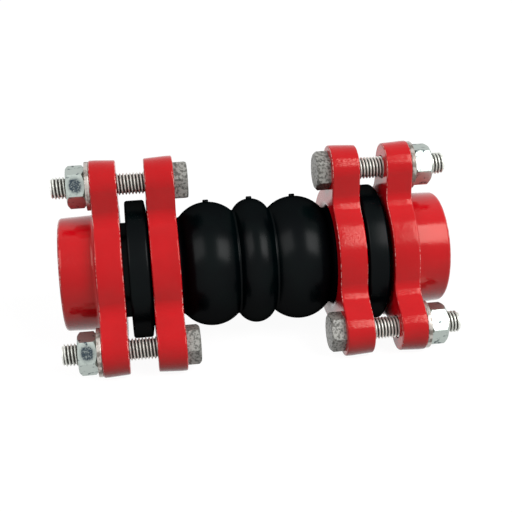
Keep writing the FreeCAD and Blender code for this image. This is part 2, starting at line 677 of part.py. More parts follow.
parts_list = [build_rubber_bellows("rubber_bellows")] + build_end("left") + build_end("right")
doc.recompute()
check_document(parts_list)
os.makedirs("parts", exist_ok=True)
for piece in parts_list:
    piece.Shape.exportStep(f"parts/{piece.Label}.step")
    box = piece.Shape.BoundBox
    print(f"{piece.Label}: volume {piece.Shape.Volume:.0f} mm3, x {box.XMin:.2f} to {box.XMax:.2f}")
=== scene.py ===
"""Looks of a flexible pipe connector: a rubber bellows between bolted red flanges.

The pipe axis is X, Z is up and the origin is in the middle of the bellows, in metres.
"""

import math

import bmesh
import bpy
from bpy.props import FloatProperty, FloatVectorProperty, PointerProperty
from mathutils import Matrix, Vector
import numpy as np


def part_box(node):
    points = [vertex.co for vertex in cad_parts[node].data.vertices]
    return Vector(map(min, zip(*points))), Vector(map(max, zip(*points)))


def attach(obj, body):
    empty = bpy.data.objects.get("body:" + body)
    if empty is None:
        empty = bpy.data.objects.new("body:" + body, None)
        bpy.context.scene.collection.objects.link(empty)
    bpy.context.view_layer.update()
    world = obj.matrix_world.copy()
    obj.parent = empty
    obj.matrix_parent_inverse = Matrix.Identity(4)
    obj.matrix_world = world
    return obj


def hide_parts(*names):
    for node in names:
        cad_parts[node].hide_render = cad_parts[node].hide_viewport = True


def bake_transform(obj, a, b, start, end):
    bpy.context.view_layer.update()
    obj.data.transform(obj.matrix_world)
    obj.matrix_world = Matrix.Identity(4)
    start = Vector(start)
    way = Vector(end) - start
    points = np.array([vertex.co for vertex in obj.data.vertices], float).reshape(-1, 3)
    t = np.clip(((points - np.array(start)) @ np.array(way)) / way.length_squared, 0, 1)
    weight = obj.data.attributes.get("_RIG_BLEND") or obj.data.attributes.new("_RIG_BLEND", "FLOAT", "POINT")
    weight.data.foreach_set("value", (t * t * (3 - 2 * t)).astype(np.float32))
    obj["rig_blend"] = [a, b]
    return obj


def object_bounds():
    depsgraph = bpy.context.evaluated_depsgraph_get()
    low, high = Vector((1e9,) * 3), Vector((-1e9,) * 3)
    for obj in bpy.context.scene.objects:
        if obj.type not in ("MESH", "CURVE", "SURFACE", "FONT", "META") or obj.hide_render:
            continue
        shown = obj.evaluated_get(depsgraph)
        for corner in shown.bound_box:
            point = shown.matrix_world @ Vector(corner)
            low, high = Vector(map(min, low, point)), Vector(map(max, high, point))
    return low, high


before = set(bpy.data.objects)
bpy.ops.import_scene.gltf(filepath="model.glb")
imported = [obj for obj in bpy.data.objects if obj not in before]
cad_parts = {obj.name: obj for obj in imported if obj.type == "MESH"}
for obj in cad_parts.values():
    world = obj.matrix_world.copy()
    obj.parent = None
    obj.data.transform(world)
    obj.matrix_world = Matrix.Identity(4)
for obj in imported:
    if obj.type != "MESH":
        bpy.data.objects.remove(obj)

CAD_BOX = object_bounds()

bl_info = {
    "name": "Flexible Pipe Connector",
    "version": (1, 0, 0),
    "blender": (4, 5, 0),
    "location": "3D View > Sidebar > Pipe Connector",
    "description": "Builds the finished surfaces of a flexible pipe connector",
    "category": "Add Mesh",
}

MM = 0.001
SIDES = ("left", "right")
BOLT_ANGLES = {"top": 0.0, "front": 120.0, "rear": 240.0}
FASTENER_PLACES = [(side, place) for side in SIDES for place in BOLT_ANGLES]

# How far each head and nut is turned about its own axis, in degrees, as on the solids.
HEAD_TURNS = {
    "left": {"top": 25.0, "front": 12.0, "rear": 40.0},
    "right": {"top": 19.0, "front": 55.0, "rear": 31.0},
}
NUT_TURNS = {
    "left": {"top": 55.0, "front": 0.0, "rear": 18.0},
    "right": {"top": 0.0, "front": 52.0, "rear": 33.0},
}

# Places along the pipe axis and the top of the lobes, read from the solids of the right-hand end.
HEAD_SEAT, CUFF_BACK = (corner.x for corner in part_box("right_backing_flange"))
SEAL_FACE, PIPE_END = (corner.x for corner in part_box("right_threaded_flange"))
WASHER_SEAT, NUT_SEAT = (corner.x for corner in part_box("right_top_washer"))
NUT_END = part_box("right_top_nut")[1].x
HEAD_END, BOLT_TIP = (corner.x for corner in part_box("right_top_bolt"))
LOBE_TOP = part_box("right_backing_flange")[1].z

# The floor lies under the lowest point of all the solids.
FLOOR_LEVEL = CAD_BOX[0].z

# How finely round forms are divided.
RUBBER_SEGMENTS = 192
BORE_SEGMENTS = 144
HOLE_SEGMENTS = 48
THREAD_SEGMENTS = 48
ARC_STEP = math.radians(4.0)
ROUND_STEP = math.radians(15.0)

# An edge is smooth below this angle.
SMOOTH_BELOW = math.radians(35.0)

# Smaller differences don't count, in metres between points or in steps of an arc.
TOLERANCE = 1e-6

# The direction halfway between the top lobe and the next one, seen along the pipe.
BETWEEN_LOBES = math.radians(30.0)

# From one corner of a hexagon to the next, and from a corner to the middle of a flat.
CORNER_STEP = math.radians(60.0)
HALF_FLAT = math.radians(30.0)

# The points on the flats of a hexagon: their mark, and the share of the flat's width or height that
# they lie at.
FLAT_POINTS = [(0.2, 0.15), (0.9, 0.325), (1.0, 0.5), (0.9, 0.675), (0.2, 0.85)]

# Where a drafted edge begins to lean, as a share of the plate's thickness.
PARTING_SHARE = 0.25

# The narrow flat bands that border the rounded edges, as shares of their radii.
ARRIS_BAND = 0.2
LIP_BAND = 0.1
HUB_ROOT_BAND = 0.3

# The ring in the middle of the hub's rounded end, counted back from the last ring.
HUB_END_MIDDLE = -5

# The end of a head or nut: the chamfer's depth in the middle of a flat, and how far inside the flats
# the end face stops.
LEAST_CHAMFER = 0.04 * MM
END_FACE_MARGIN = 0.1 * MM

# One pitch of each thread, as shares of the pitch and of the thread's height. The pipe thread has rounded
# roots and crests, and the second half of its pitch is the first half turned over.
PIPE_THREAD_RISE = [(0.0, 0.0), (0.10, 0.0), (0.18, 0.14), (0.42, 0.86)]
PIPE_THREAD = PIPE_THREAD_RISE + [(share + 0.5, 1.0 - height) for share, height in PIPE_THREAD_RISE]
BOLT_THREAD = [(0.0, 0.0), (0.22, 0.0), (0.555, 1.0), (0.665, 1.0)]

# The mark of a thread's crests, where its roots have 1 and everything else has 0.
THREAD_CREST = 0.3

# The stretch of each large bulge that bends, as distances from the middle of the bellows.
BEND_NEAR, BEND_FAR = 9.0 * MM, 34.0 * MM

# How strongly a painted dark reflection darkens the front flats of each end's nuts, and how far
# forwards a flat has to look to be one of them, as a cosine.
NUT_DARK_REFLECTION = {"left": 1.0, "right": 0.0}
FRONT_FLAT = 0.8

# The places of a Mix node's colour sockets, whose names its other sockets have too.
FIRST_COLOUR, MIXED_COLOUR = 6, 2

# The coarse grain's scale as a share of the fine grain's, and how softly a chip on an arris ends;
# the chips are partly wear and partly painted glints.
COARSE_GRAIN = 0.12
CHIP_AND_GLINT_SOFTNESS = 0.10

# How much rougher the duller patches of the plating are, and the least metallic look of its threads.
DULL_ROUGHNESS = 0.16
THREAD_METALLIC = 0.8

# The floor: half its width, how grey it is to the light and how white to the eye, out of 1.
FLOOR_REACH = 30.0
FLOOR_GREY = 0.10
FLOOR_GLOW = 0.95

# The nearest and furthest that the camera sees.
CAMERA_NEAR, CAMERA_FAR = 0.01, 100.0


def length_property(name, description, default_mm):
    return FloatProperty(
        name=name, description=description, default=default_mm * MM, min=0.0, unit="LENGTH", precision=5
    )


def angle_property(name, description, default_degrees):
    return FloatProperty(
        name=name, description=description, default=math.radians(default_degrees), subtype="ANGLE"
    )


def power_property(name, description, default_watts):
    return FloatProperty(
        name=name, description=description, default=default_watts, min=0.0, unit="POWER"
    )


def share_property(name, description, default):
    return FloatProperty(
        name=name, description=description, default=default, min=0.0, max=1.0, subtype="FACTOR"
    )


def colour_property(name, description, default):
    return FloatVectorProperty(
        name=name, description=description, default=default, size=3, min=0.0, max=1.0, subtype="COLOR"
    )


class RubberSettings(bpy.types.PropertyGroup):
    bulge_spacing: length_property("Bulge Spacing", "Between the crests of the two large bulges", 41.6)
    bulge_diameter: length_property("Bulge Diameter", "Large bulges over their crests", 59.0)
    bulge_section: length_property("Bulge Section", "Radius of a large bulge along the pipe", 17.0)
    middle_diameter: length_property("Middle Diameter", "Middle bulge over its crest", 59.4)
    middle_section: length_property("Middle Section", "Radius of the middle bulge along the pipe", 9.2)
    crease_round: length_property("Crease Round", "Radius at the bottom of the creases", 0.9)
    wall: length_property("Wall", "Rubber wall in the bulges", 6.0)
    flow_bore: length_property("Flow Bore", "Passage through the rubber", 32.0)
    neck_diameter: length_property("Neck Diameter", "Neck inside a backing flange", 45.6)
    neck_round: length_property("Neck Round", "Fillet between a large bulge and its neck", 3.0)
    cuff_diameter: length_property("Cuff Diameter", "Clamped cuff", 65.0)
    cuff_seat_diameter: length_property("Cuff Seat Diameter", "Flat part of the cuff's back", 53.0)
    cuff_relief: length_property("Cuff Relief", "Gap between the cuff's rim and the flange", 0.8)
    cuff_round: length_property("Cuff Round", "Radius of the cuff's rim", 1.2)
    seal_diameter: length_property("Seal Diameter", "Raised sealing face", 44.6)
    seal_rise: length_property("Seal Rise", "Sealing face above the cuff", 2.4)
    nib_diameter: length_property("Nib Diameter", "Mould nibs on the crests", 2.8)
    nib_height: length_property("Nib Height", "Mould nibs above the crests", 1.0)
    nib_round: length_property("Nib Round", "Rounded tops of the nibs", 0.49)
    nib_lean: angle_property("Nib Lean", "How far the row of nibs leans to the rear", 22.0)


class FlangeSettings(bpy.types.PropertyGroup):
    disc_diameter: length_property("Disc Diameter", "Round middle of each plate", 64.0)
    lobe_diameter: length_property("Lobe Diameter", "Round end of each lobe", 23.0)
    lobe_root_round: length_property("Lobe Root Round", "Where a lobe runs into the disc", 8.0)
    arris_round: length_property("Arris Round", "Rounded edges of the castings", 0.8)
    hub_diameter: length_property("Hub Diameter", "Hub of a threaded flange at its plate", 54.0)
    hub_draft: angle_property("Hub Draft", "Casting draft of the hub", 2.0)
    hub_end_round: length_property("Hub End Round", "Rounded edge of the hub's end", 1.8)
    hub_root_round: length_property("Hub Root Round", "Fillet between hub and plate", 2.0)
    port_diameter: length_property("Port Diameter", "Opening behind the pipe thread", 35.0)
    port_chamfer: length_property("Port Chamfer", "Cone between port and pipe thread, along the pipe", 1.0)
    neck_bore: length_property("Neck Bore", "Opening of a backing flange", 46.4)
    lip_round: length_property("Lip Round", "Rounded lip of a backing flange", 3.0)
    edge_draft: angle_property("Edge Draft", "Casting draft of the plates' edges, towards the cuff", 3.2)
    bolt_hole: length_property("Bolt Hole", "Diameter of the bolt holes", 11.0)


class ThreadSettings(bpy.types.PropertyGroup):
    pipe_major: length_property("Pipe Thread Major", "Largest diameter of the pipe thread", 41.91)
    pipe_minor: length_property("Pipe Thread Minor", "Smallest diameter of the pipe thread", 38.95)
    pipe_pitch: length_property("Pipe Thread Pitch", "Eleven threads to the inch", 2.309)
    pipe_depth: length_property("Pipe Thread Depth", "Thread from the hub's end", 22.0)
    lead_in: length_property("Lead-in", "Chamfer at the mouth of the pipe thread", 1.5)
    bolt_major: length_property("Bolt Diameter", "Metric bolts", 10.0)
    bolt_minor: length_property("Bolt Thread Root", "Smallest diameter of the bolt thread", 8.16)
    bolt_pitch: length_property("Bolt Pitch", "Coarse metric thread", 1.5)
    bolt_neck: length_property("Bolt Neck", "Plain shank below the head", 2.0)
    tip_chamfer: length_property("Tip Chamfer", "Chamfer at the bolt's tip", 1.0)


class FastenerSettings(bpy.types.PropertyGroup):
    head_across_flats: length_property("Head Across Flats", "Bolt heads", 16.0)
    nut_across_flats: length_property("Nut Across Flats", "Nuts", 17.0)
    corner_drop: length_property("Corner Drop", "Height lost at the corners of heads and nuts", 1.2)
    corner_round: length_property("Corner Round", "Radius of the corners of heads and nuts", 0.35)
    nut_bore: length_property("Nut Bore", "Bore of the nuts over the thread", 10.1)
    nut_mouth: length_property("Nut Mouth", "Chamfer of the nuts' bore", 0.6)
    washer_diameter: length_property("Washer Diameter", "Flat washers", 22.0)
    washer_hole: length_property("Washer Hole", "Hole of the flat washers", 10.5)
    washer_round: length_property("Washer Round", "Rounded edges of the washers", 0.3)


class FinishSettings(bpy.types.PropertyGroup):
    enamel: colour_property("Enamel", "Red enamel of the castings", (0.60, 0.0020, 0.0080))
    enamel_deep: colour_property("Deep Enamel", "Enamel where it lies thicker", (0.54, 0.0018, 0.0070))
    # Partly bare spots of wear and partly painted glints along the arrises.
    chip_and_glint: colour_property("Chips", "Bare spots on worn arrises", (0.92, 0.52, 0.48))
    rubber: colour_property("Rubber", "Moulded rubber", (0.0002, 0.0012, 0.0017))
    bloom: colour_property("Rubber Bloom", "Dull bloom on the rubber", (0.0006, 0.0026, 0.0028))
    steel: colour_property("Bolt Steel", "Plated bolts", (0.33, 0.33, 0.305))
    steel_dark: colour_property("Dull Steel", "Duller patches of the bolts", (0.10, 0.10, 0.09))
    thread: colour_property("Thread", "Bright threads of the bolts", (0.86, 0.87, 0.82))
    # Painted shade that darkens the roots of the threads.
    thread_root_shade: colour_property("Thread Root", "Dirt in the roots of the threads", (0.03, 0.027, 0.022))
    nut: colour_property("Nut Zinc", "Bright plated nuts", (0.42, 0.47, 0.44))
    # Random dark patches of the nuts, and the painted dark reflection on the front flats of the left nuts.
    nut_dark_patch_and_reflection: colour_property("Nut Dark Patches And Reflection", "Dark patches of the nuts", (0.035, 0.05, 0.065))
    washer: colour_property("Washer Zinc", "Plated washers", (0.52, 0.48, 0.44))
    washer_dark: colour_property("Dull Washer", "Duller patches of the washers", (0.19, 0.16, 0.14))


class StageSettings(bpy.types.PropertyGroup):
    azimuth: angle_property("Azimuth", "Camera round the object, positive to the right", -7.75)
    elevation: angle_property("Elevation", "Camera above the horizon", 25.3)
    roll: angle_property("Roll", "Camera about its own axis", -1.1)
    distance: length_property("Distance", "Camera from the middle of the view", 459.0)
    aim_right: length_property("Aim Right", "Middle of the view from the origin, to the right", 1.55)
    aim_up: length_property("Aim Up", "Middle of the view from the origin, upwards", 1.9)
    view_angle: angle_property("View Angle", "Angle of view of the camera", 30.0)
    box_distance: length_property("Soft Box Distance", "Soft boxes and back panel from the object", 1200.0)
    box_elevation: angle_property("Soft Box Elevation", "Soft boxes above the horizon", 41.0)
    box_width: length_property("Soft Box Width", "Width of each soft box", 780.0)
    box_height: length_property("Soft Box Height", "Height of each soft box", 730.0)
    right_box: angle_property("Right Soft Box", "Round the object, positive to the right", 50.0)
    right_power: power_property("Right Soft Box Power", "Light of the right soft box", 13.0)
    left_box: angle_property("Left Soft Box", "Round the object, positive to the right", -61.0)
    left_power: power_property("Left Soft Box Power", "Light of the left soft box", 6.0)
    panel_elevation: angle_property("Back Panel Elevation", "Back panel above the horizon", 15.0)
    panel_width: length_property("Back Panel Width", "Width of the back panel", 2000.0)
    panel_height: length_property("Back Panel Height", "Height of the back panel", 600.0)
    panel_power: power_property("Back Panel Power", "Light of the back panel", 4.6)
    fill: share_property("Fill", "Light from all round, where 1 is white", 0.10)


class ConnectorSettings(bpy.types.PropertyGroup):
    rubber: PointerProperty(type=RubberSettings)
    flange: PointerProperty(type=FlangeSettings)
    thread: PointerProperty(type=ThreadSettings)
    fastener: PointerProperty(type=FastenerSettings)
    finish: PointerProperty(type=FinishSettings)
    stage: PointerProperty(type=StageSettings)


def connector():
    """All the settings of the scene's connector."""
    return bpy.context.scene.pipe_connector


# Outlines


def arc(centre, radius, start, end, step=ARC_STEP):
    """Points along an arc from one angle to another, both ends included."""
    count = max(2, math.ceil(abs(end - start) / step - TOLERANCE))
    turns = (start + (end - start) * number / count for number in range(count + 1))
    return [(centre[0] + radius * math.cos(turn), centre[1] + radius * math.sin(turn)) for turn in turns]


def circle(radius, segments, centre=(0.0, 0.0)):
    return arc(centre, radius, 0.0, math.tau, math.tau / segments)[:-1]


def bearing(origin, target):
    return math.atan2(target[1] - origin[1], target[0] - origin[0])


def upper_crossing(first, first_radius, second, second_radius):
    """The upper of the two points where two circles meet."""
    gap = math.dist(first, second)
    along = (gap**2 + first_radius**2 - second_radius**2) / (2 * gap)
    rise = math.sqrt(first_radius**2 - along**2)
    unit = ((second[0] - first[0]) / gap, (second[1] - first[1]) / gap)
    return (first[0] + unit[0] * along - unit[1] * rise, first[1] + unit[1] * along + unit[0] * rise)


def mirrored(points):
    return [(-x, radius) for x, radius in points]


def rounded_rim(low_x, high_x, rim, edge):
    """The rim of a disc with both of its edges rounded, as (x, radius) pairs."""
    points = arc((low_x + edge, rim - edge), edge, math.pi, math.pi / 2, ROUND_STEP)
    return points + arc((high_x - edge, rim - edge), edge, math.pi / 2, 0.0, ROUND_STEP)


def cuff_outline(rubber):
    """The back, rim and sealing face of the right-hand cuff, as (x, radius) pairs."""
    face = SEAL_FACE - rubber.seal_rise
    back = [(CUFF_BACK, rubber.neck_diameter / 2), (CUFF_BACK, rubber.cuff_seat_diameter / 2)]
    rim = rounded_rim(CUFF_BACK + rubber.cuff_relief, face, rubber.cuff_diameter / 2, rubber.cuff_round)
    return back + rim + [(face, rubber.seal_diameter / 2), (SEAL_FACE, rubber.seal_diameter / 2)]


def rubber_outlines(rubber):
    """Half the rubber's section as four runs of (x, radius) pairs that meet at the crease.

    They are the middle bulge outside, the rest outside, the rest inside and the middle bulge inside.
    """
    bulge = (rubber.bulge_spacing / 2, rubber.bulge_diameter / 2 - rubber.bulge_section)
    middle = (0.0, rubber.middle_diameter / 2 - rubber.middle_section)
    crease = upper_crossing(middle, rubber.middle_section, bulge, rubber.bulge_section)
    fillet = rubber.crease_round
    hollow = upper_crossing(middle, rubber.middle_section + fillet, bulge, rubber.bulge_section + fillet)
    down = -math.pi / 2

    middle_outside = arc(middle, rubber.middle_section, -down, bearing(middle, hollow))
    middle_outside += arc(hollow, fillet, bearing(hollow, middle), down, ROUND_STEP)[1:]

    root_y = rubber.neck_diameter / 2 + rubber.neck_round
    root_reach = rubber.bulge_section + rubber.neck_round
    root = (bulge[0] + math.sqrt(root_reach**2 - (root_y - bulge[1]) ** 2), root_y)
    outside = arc(hollow, fillet, down, bearing(hollow, bulge), ROUND_STEP)
    outside += arc(bulge, rubber.bulge_section, bearing(bulge, hollow), bearing(bulge, root))[1:]
    outside += arc(root, rubber.neck_round, bearing(root, bulge), down)[1:]
    outside += cuff_outline(rubber)

    bore = rubber.flow_bore / 2
    inner_radius = rubber.bulge_section - rubber.wall
    foot = (bulge[0] + math.sqrt(inner_radius**2 - (bore - bulge[1]) ** 2), bore)
    inside = [(SEAL_FACE, bore)]
    inside += arc(bulge, inner_radius, bearing(bulge, foot), bearing(bulge, crease))
    inside += arc(crease, rubber.wall, bearing(crease, bulge), down)[1:]

    middle_inside = arc(crease, rubber.wall, down, bearing(crease, middle))
    middle_inside += arc(middle, rubber.middle_section - rubber.wall, bearing(middle, crease), -down)[1:]
    return middle_outside, outside, inside, middle_inside


def plate_outline(flange):
    """The three-lobed outline: points and their outward directions, in the plane across the pipe."""
    disc, lobe, root = flange.disc_diameter / 2, flange.lobe_diameter / 2, flange.lobe_root_round
    reach = LOBE_TOP - lobe
    root_centre = Vector((lobe + root, math.sqrt((disc + root) ** 2 - (lobe + root) ** 2)))
    half = []
    for point in arc((0.0, 0.0), disc, BETWEEN_LOBES, bearing((0.0, 0.0), root_centre)):
        half.append((Vector(point), Vector(point) / disc))
    for point in arc(root_centre, root, bearing(root_centre, (0.0, 0.0)), -math.pi)[1:]:
        half.append((Vector(point), (root_centre - Vector(point)) / root))
    for point in arc((0.0, reach), lobe, 0.0, math.pi / 2):
        half.append((Vector(point), (Vector(point) - Vector((0.0, reach))) / lobe))

    flip = Matrix.Scale(-1.0, 2, (1.0, 0.0))
    lobe_outline = half + [(flip @ point, flip @ way) for point, way in reversed(half[1:-1])]
    outline = []
    for angle in BOLT_ANGLES.values():
        turn = Matrix.Rotation(math.radians(angle), 2)
        outline += [(turn @ point, turn @ way) for point, way in lobe_outline]
    return outline


def hub_stations(flange, thread):
    """The hub from its fillet on the plate to the mouth of its thread, as (x, radius) pairs."""
    root, end, draft = flange.hub_root_round, flange.hub_end_round, flange.hub_draft

    def wall(x):
        return flange.hub_diameter / 2 - (x - WASHER_SEAT) * math.tan(draft)

    root_centre = (WASHER_SEAT + root, wall(WASHER_SEAT + root) + root / math.cos(draft))
    end_centre = (PIPE_END - end, wall(PIPE_END - end) - end / math.cos(draft))
    upright = math.pi / 2 - draft
    points = [(WASHER_SEAT, root_centre[1] + HUB_ROOT_BAND * root)]
    points += arc(root_centre, root, math.pi, math.pi + upright, ROUND_STEP)
    points += arc(end_centre, end, upright, 0.0, ROUND_STEP)
    return points + [(PIPE_END, thread.pipe_minor / 2 + thread.lead_in)]


def hexagon_outline(across_flats, corner_round):
    """A hexagon with rounded corners, the first of them on the y axis, as (y, z) pairs."""
    centre_reach = (across_flats / 2 - corner_round) / math.cos(HALF_FLAT)
    corners = []
    for number in range(6):
        turn = CORNER_STEP * number
        centre = (centre_reach * math.cos(turn), centre_reach * math.sin(turn))
        corners.append(arc(centre, corner_round, turn - HALF_FLAT, turn + HALF_FLAT, ROUND_STEP))
    points = []
    for corner, following in zip(corners, corners[1:] + corners[:1]):
        last, first = Vector(corner[-1]), Vector(following[0])
        points += [Vector(point) for point in corner]
        points += [last.lerp(first, share) for _, share in FLAT_POINTS]
    return points


# Meshes


def marked_mesh():
    """An empty mesh whose points can be marked: on an arris, in a thread, in the middle of a flat."""
    bm = bmesh.new()
    for name in ("arris", "thread", "flat"):
        bm.verts.layers.float.new(name)
    return bm


def mark(bm, name, vertices, amount=1.0):
    layer = bm.verts.layers.float[name]
    for vertex in vertices:
        vertex[layer] = amount


def add_ring(bm, x, points):
    return [bm.verts.new((x, point[0], point[1])) for point in points]


def bridge(bm, rings):
    """Bands of quads between closed rings that have as many points each."""
    for first, second in zip(rings, rings[1:]):
        for number in range(len(first)):
            following = (number + 1) % len(first)
            bm.faces.new((first[number], first[following], second[following], second[number]))


def turned(bm, stations, segments, centre=(0.0, 0.0)):
    """A surface of revolution through (x, radius) pairs. Returns its rings."""
    rings = [add_ring(bm, x, circle(radius, segments, centre)) for x, radius in stations]
    bridge(bm, rings)
    return rings


def fill_flat(bm, rings):
    """A flat face across the pipe, bounded by one outer ring, with the other rings as its holes."""
    edges = []
    for ring in rings:
        for vertex, following in zip(ring, ring[1:] + ring[:1]):
            edges.append(bm.edges.get((vertex, following)) or bm.edges.new((vertex, following)))
    bmesh.ops.triangle_fill(bm, edges=edges, use_beauty=True, normal=(1.0, 0.0, 0.0))


def screw_surface(bm, profile, pitch, start, end, segments, limits):
    """A right-hand thread along the x axis whose rows of points follow its helix.

    The profile gives (share of the pitch, radius) pairs, and limits(x) the least and greatest radius.
    """
    mark_layer = bm.verts.layers.float["thread"]
    crest, root = max(radius for _, radius in profile), min(radius for _, radius in profile)
    per_turn = len(profile)
    rows = per_turn * (math.ceil((end - start) / pitch) + 2)
    columns = []
    for number in range(segments):
        turn = math.tau * number / segments
        column = []
        for row in range(rows + 1):
            share, radius = profile[row % per_turn]
            x = start + pitch * (row // per_turn - 1 + number / segments + share)
            x = min(max(x, start), end)
            least, greatest = limits(x)
            radius = max(least, min(greatest, radius))
            column.append(bm.verts.new((x, radius * math.cos(turn), radius * math.sin(turn))))
            depth = (min(greatest, crest) - radius) / (crest - root)
            column[-1][mark_layer] = THREAD_CREST + (1.0 - THREAD_CREST) * depth
        columns.append(column)
    columns.append(columns[0][per_turn:])
    for column, following in zip(columns, columns[1:]):
        for row in range(min(len(column), len(following)) - 1):
            bm.faces.new((column[row], column[row + 1], following[row + 1], following[row]))


def added(name, data):
    """A new object of the scene with this mesh, lamp or camera."""
    thing = bpy.data.objects.new(name, data)
    bpy.context.scene.collection.objects.link(thing)
    return thing


def mesh_object(bm, name):
    mesh = bpy.data.meshes.new(name)
    bm.to_mesh(mesh)
    bm.free()
    return added(name, mesh)


def finish_mesh(bm, name, material, transform):
    """Closes the mesh's seams, puts it in place and shades it smooth apart from its sharp edges."""
    bmesh.ops.remove_doubles(bm, verts=bm.verts, dist=TOLERANCE)
    bmesh.ops.transform(bm, matrix=transform, verts=bm.verts)
    bmesh.ops.recalc_face_normals(bm, faces=bm.faces)
    open_edges = [edge for edge in bm.edges if not edge.is_manifold]
    if open_edges:
        place = open_edges[0].verts[0].co
        raise RuntimeError(f"{name}: {len(open_edges)} open edges, the first at {place}")
    for face in bm.faces:
        face.smooth = True
    for edge in bm.edges:
        edge.smooth = edge.calc_face_angle(0.0) < SMOOTH_BELOW
    piece = mesh_object(bm, name)
    piece.data.materials.append(material)
    return piece


def end_transform(side):
    """From the right-hand end, where everything is drawn, to the end that is wanted."""
    return Matrix.Rotation(math.pi if side == "left" else 0.0, 4, "Z")


def bolt_place(place):
    """A bolt's place in the plane across the pipe, as (y, z)."""
    angle = math.radians(BOLT_ANGLES[place])
    reach = LOBE_TOP - connector().flange.lobe_diameter / 2
    return (-reach * math.sin(angle), reach * math.cos(angle))


def fastener_transform(side, place, x, turn):
    """From the x axis to one bolt of one end, x along the pipe, turned about its own axis."""
    y, z = bolt_place(place)
    spot = Vector((-x if side == "left" else x, y, z))
    return Matrix.Translation(spot) @ end_transform(side) @ Matrix.Rotation(math.radians(turn), 4, "X")


def finish_piece(bm, side, node, ending, transform, material):
    """The finished mesh takes the place of one solid and moves with its end of the connector."""
    piece = finish_mesh(bm, f"{node}_{ending}", material, transform)
    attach(piece, f"{side}_end")
    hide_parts(node)


def plate(bm, flange, low_x, high_x, cuff_is_low):
    """A plate's sides, arrises and bolt holes. Returns the rings in its low and high faces.

    The sides lean inwards by their draft, from a parting line to the face that looks at the cuff.
    """
    outline, edge = plate_outline(flange), flange.arris_round
    band = (1.0 + ARRIS_BAND) * edge
    rounding = [(0.0, band), *arc((edge, edge), edge, math.pi, 1.5 * math.pi, ROUND_STEP), (band, 0.0)]
    parting_depth = PARTING_SHARE * (high_x - low_x)
    lean = math.tan(flange.edge_draft) * (high_x - low_x - parting_depth - edge)
    if cuff_is_low:
        parting, low_lean, high_lean = high_x - parting_depth, lean, 0.0
    else:
        parting, low_lean, high_lean = low_x + parting_depth, 0.0, lean
    stations = [(low_x + depth, low_lean + inset) for depth, inset in rounding] + [(parting, 0.0)]
    stations += [(high_x - depth, high_lean + inset) for depth, inset in reversed(rounding)]
    rings = [add_ring(bm, x, [point - way * inset for point, way in outline]) for x, inset in stations]
    bridge(bm, rings)
    middle = len(rounding) // 2
    mark(bm, "arris", rings[middle] + rings[-middle - 1])
    low_rings, high_rings = [rings[0]], [rings[-1]]
    for place in BOLT_ANGLES:
        hole = [(low_x, flange.bolt_hole / 2), (high_x, flange.bolt_hole / 2)]
        low, high = turned(bm, hole, HOLE_SEGMENTS, bolt_place(place))
        low_rings.append(low)
        high_rings.append(high)
    return low_rings, high_rings


def pipe_thread(bm, thread):
    """The female pipe thread, with its run-out at the port and its lead-in at the hub's end."""
    minor, major = thread.pipe_minor / 2, thread.pipe_major / 2
    start, mouth = PIPE_END - thread.pipe_depth, PIPE_END - thread.lead_in

    def limits(x):
        return minor + max(0.0, x - mouth), minor + max(0.0, x - start)

    profile = [(share, minor + height * (major - minor)) for share, height in PIPE_THREAD]
    screw_surface(bm, profile, thread.pipe_pitch, start, PIPE_END, BORE_SEGMENTS, limits)


def make_threaded_flange(side, material):
    settings = connector()
    flange, thread = settings.flange, settings.thread
    bm = marked_mesh()
    seal_rings, washer_rings = plate(bm, flange, SEAL_FACE, WASHER_SEAT, cuff_is_low=True)
    thread_start = PIPE_END - thread.pipe_depth
    port_radius = flange.port_diameter / 2
    port = [(SEAL_FACE, port_radius), (thread_start - flange.port_chamfer, port_radius)]
    port_rings = turned(bm, port + [(thread_start, thread.pipe_minor / 2)], BORE_SEGMENTS)
    hub_rings = turned(bm, hub_stations(flange, thread), BORE_SEGMENTS)
    mark(bm, "arris", hub_rings[HUB_END_MIDDLE])
    pipe_thread(bm, thread)
    fill_flat(bm, seal_rings + port_rings[:1])
    fill_flat(bm, washer_rings + hub_rings[:1])
    node = f"{side}_threaded_flange"
    finish_piece(bm, side, node, "casting", end_transform(side), material)


def make_backing_flange(side, material):
    flange = connector().flange
    bm = marked_mesh()
    head_rings, cuff_rings = plate(bm, flange, HEAD_SEAT, CUFF_BACK, cuff_is_low=False)
    lip, bore = flange.lip_round, flange.neck_bore / 2
    stations = [(HEAD_SEAT, bore + (1.0 + LIP_BAND) * lip)]
    stations += arc((HEAD_SEAT + lip, bore + lip), lip, math.pi, 1.5 * math.pi, ROUND_STEP)
    bore_rings = turned(bm, stations + [(CUFF_BACK, bore)], BORE_SEGMENTS)
    fill_flat(bm, head_rings + bore_rings[:1])
    fill_flat(bm, cuff_rings + bore_rings[-1:])
    node = f"{side}_backing_flange"
    finish_piece(bm, side, node, "casting", end_transform(side), material)


def hexagon_end(bm, outline, across_flats, end_x, inward):
    """A chamfered end. Returns the ring round the flat end face and the one on the hexagon."""
    fastener = connector().fastener
    flat = across_flats / 2
    slope = fastener.corner_drop / (flat / math.cos(HALF_FLAT) - flat)
    side_ring = []
    for point in outline:
        depth = slope * max(0.0, point.length - flat) + LEAST_CHAMFER
        side_ring.append(bm.verts.new((end_x + inward * depth, point.x, point.y)))
    face_ring = add_ring(bm, end_x, [point.normalized() * (flat - END_FACE_MARGIN) for point in outline])
    bridge(bm, [face_ring, side_ring])
    return face_ring, side_ring


def hexagon_sides(bm, first, last, painted_reflection):
    """The flats from one ring to another, each marked in its middle, where a nut gets its painted dark
    reflection, as far as painted_reflection(number) says.
    """
    rings = [first]
    across = [0.0] * (len(first) // 6 - len(FLAT_POINTS)) + [edge for edge, _ in FLAT_POINTS]
    for edge, share in FLAT_POINTS:
        ring = [bm.verts.new(one.co.lerp(other.co, share)) for one, other in zip(first, last)]
        for number, vertex in enumerate(ring):
            flat, step = divmod(number, len(across))
            mark(bm, "flat", [vertex], painted_reflection(flat) * edge * across[step])
        rings.append(ring)
    bridge(bm, rings + [last])


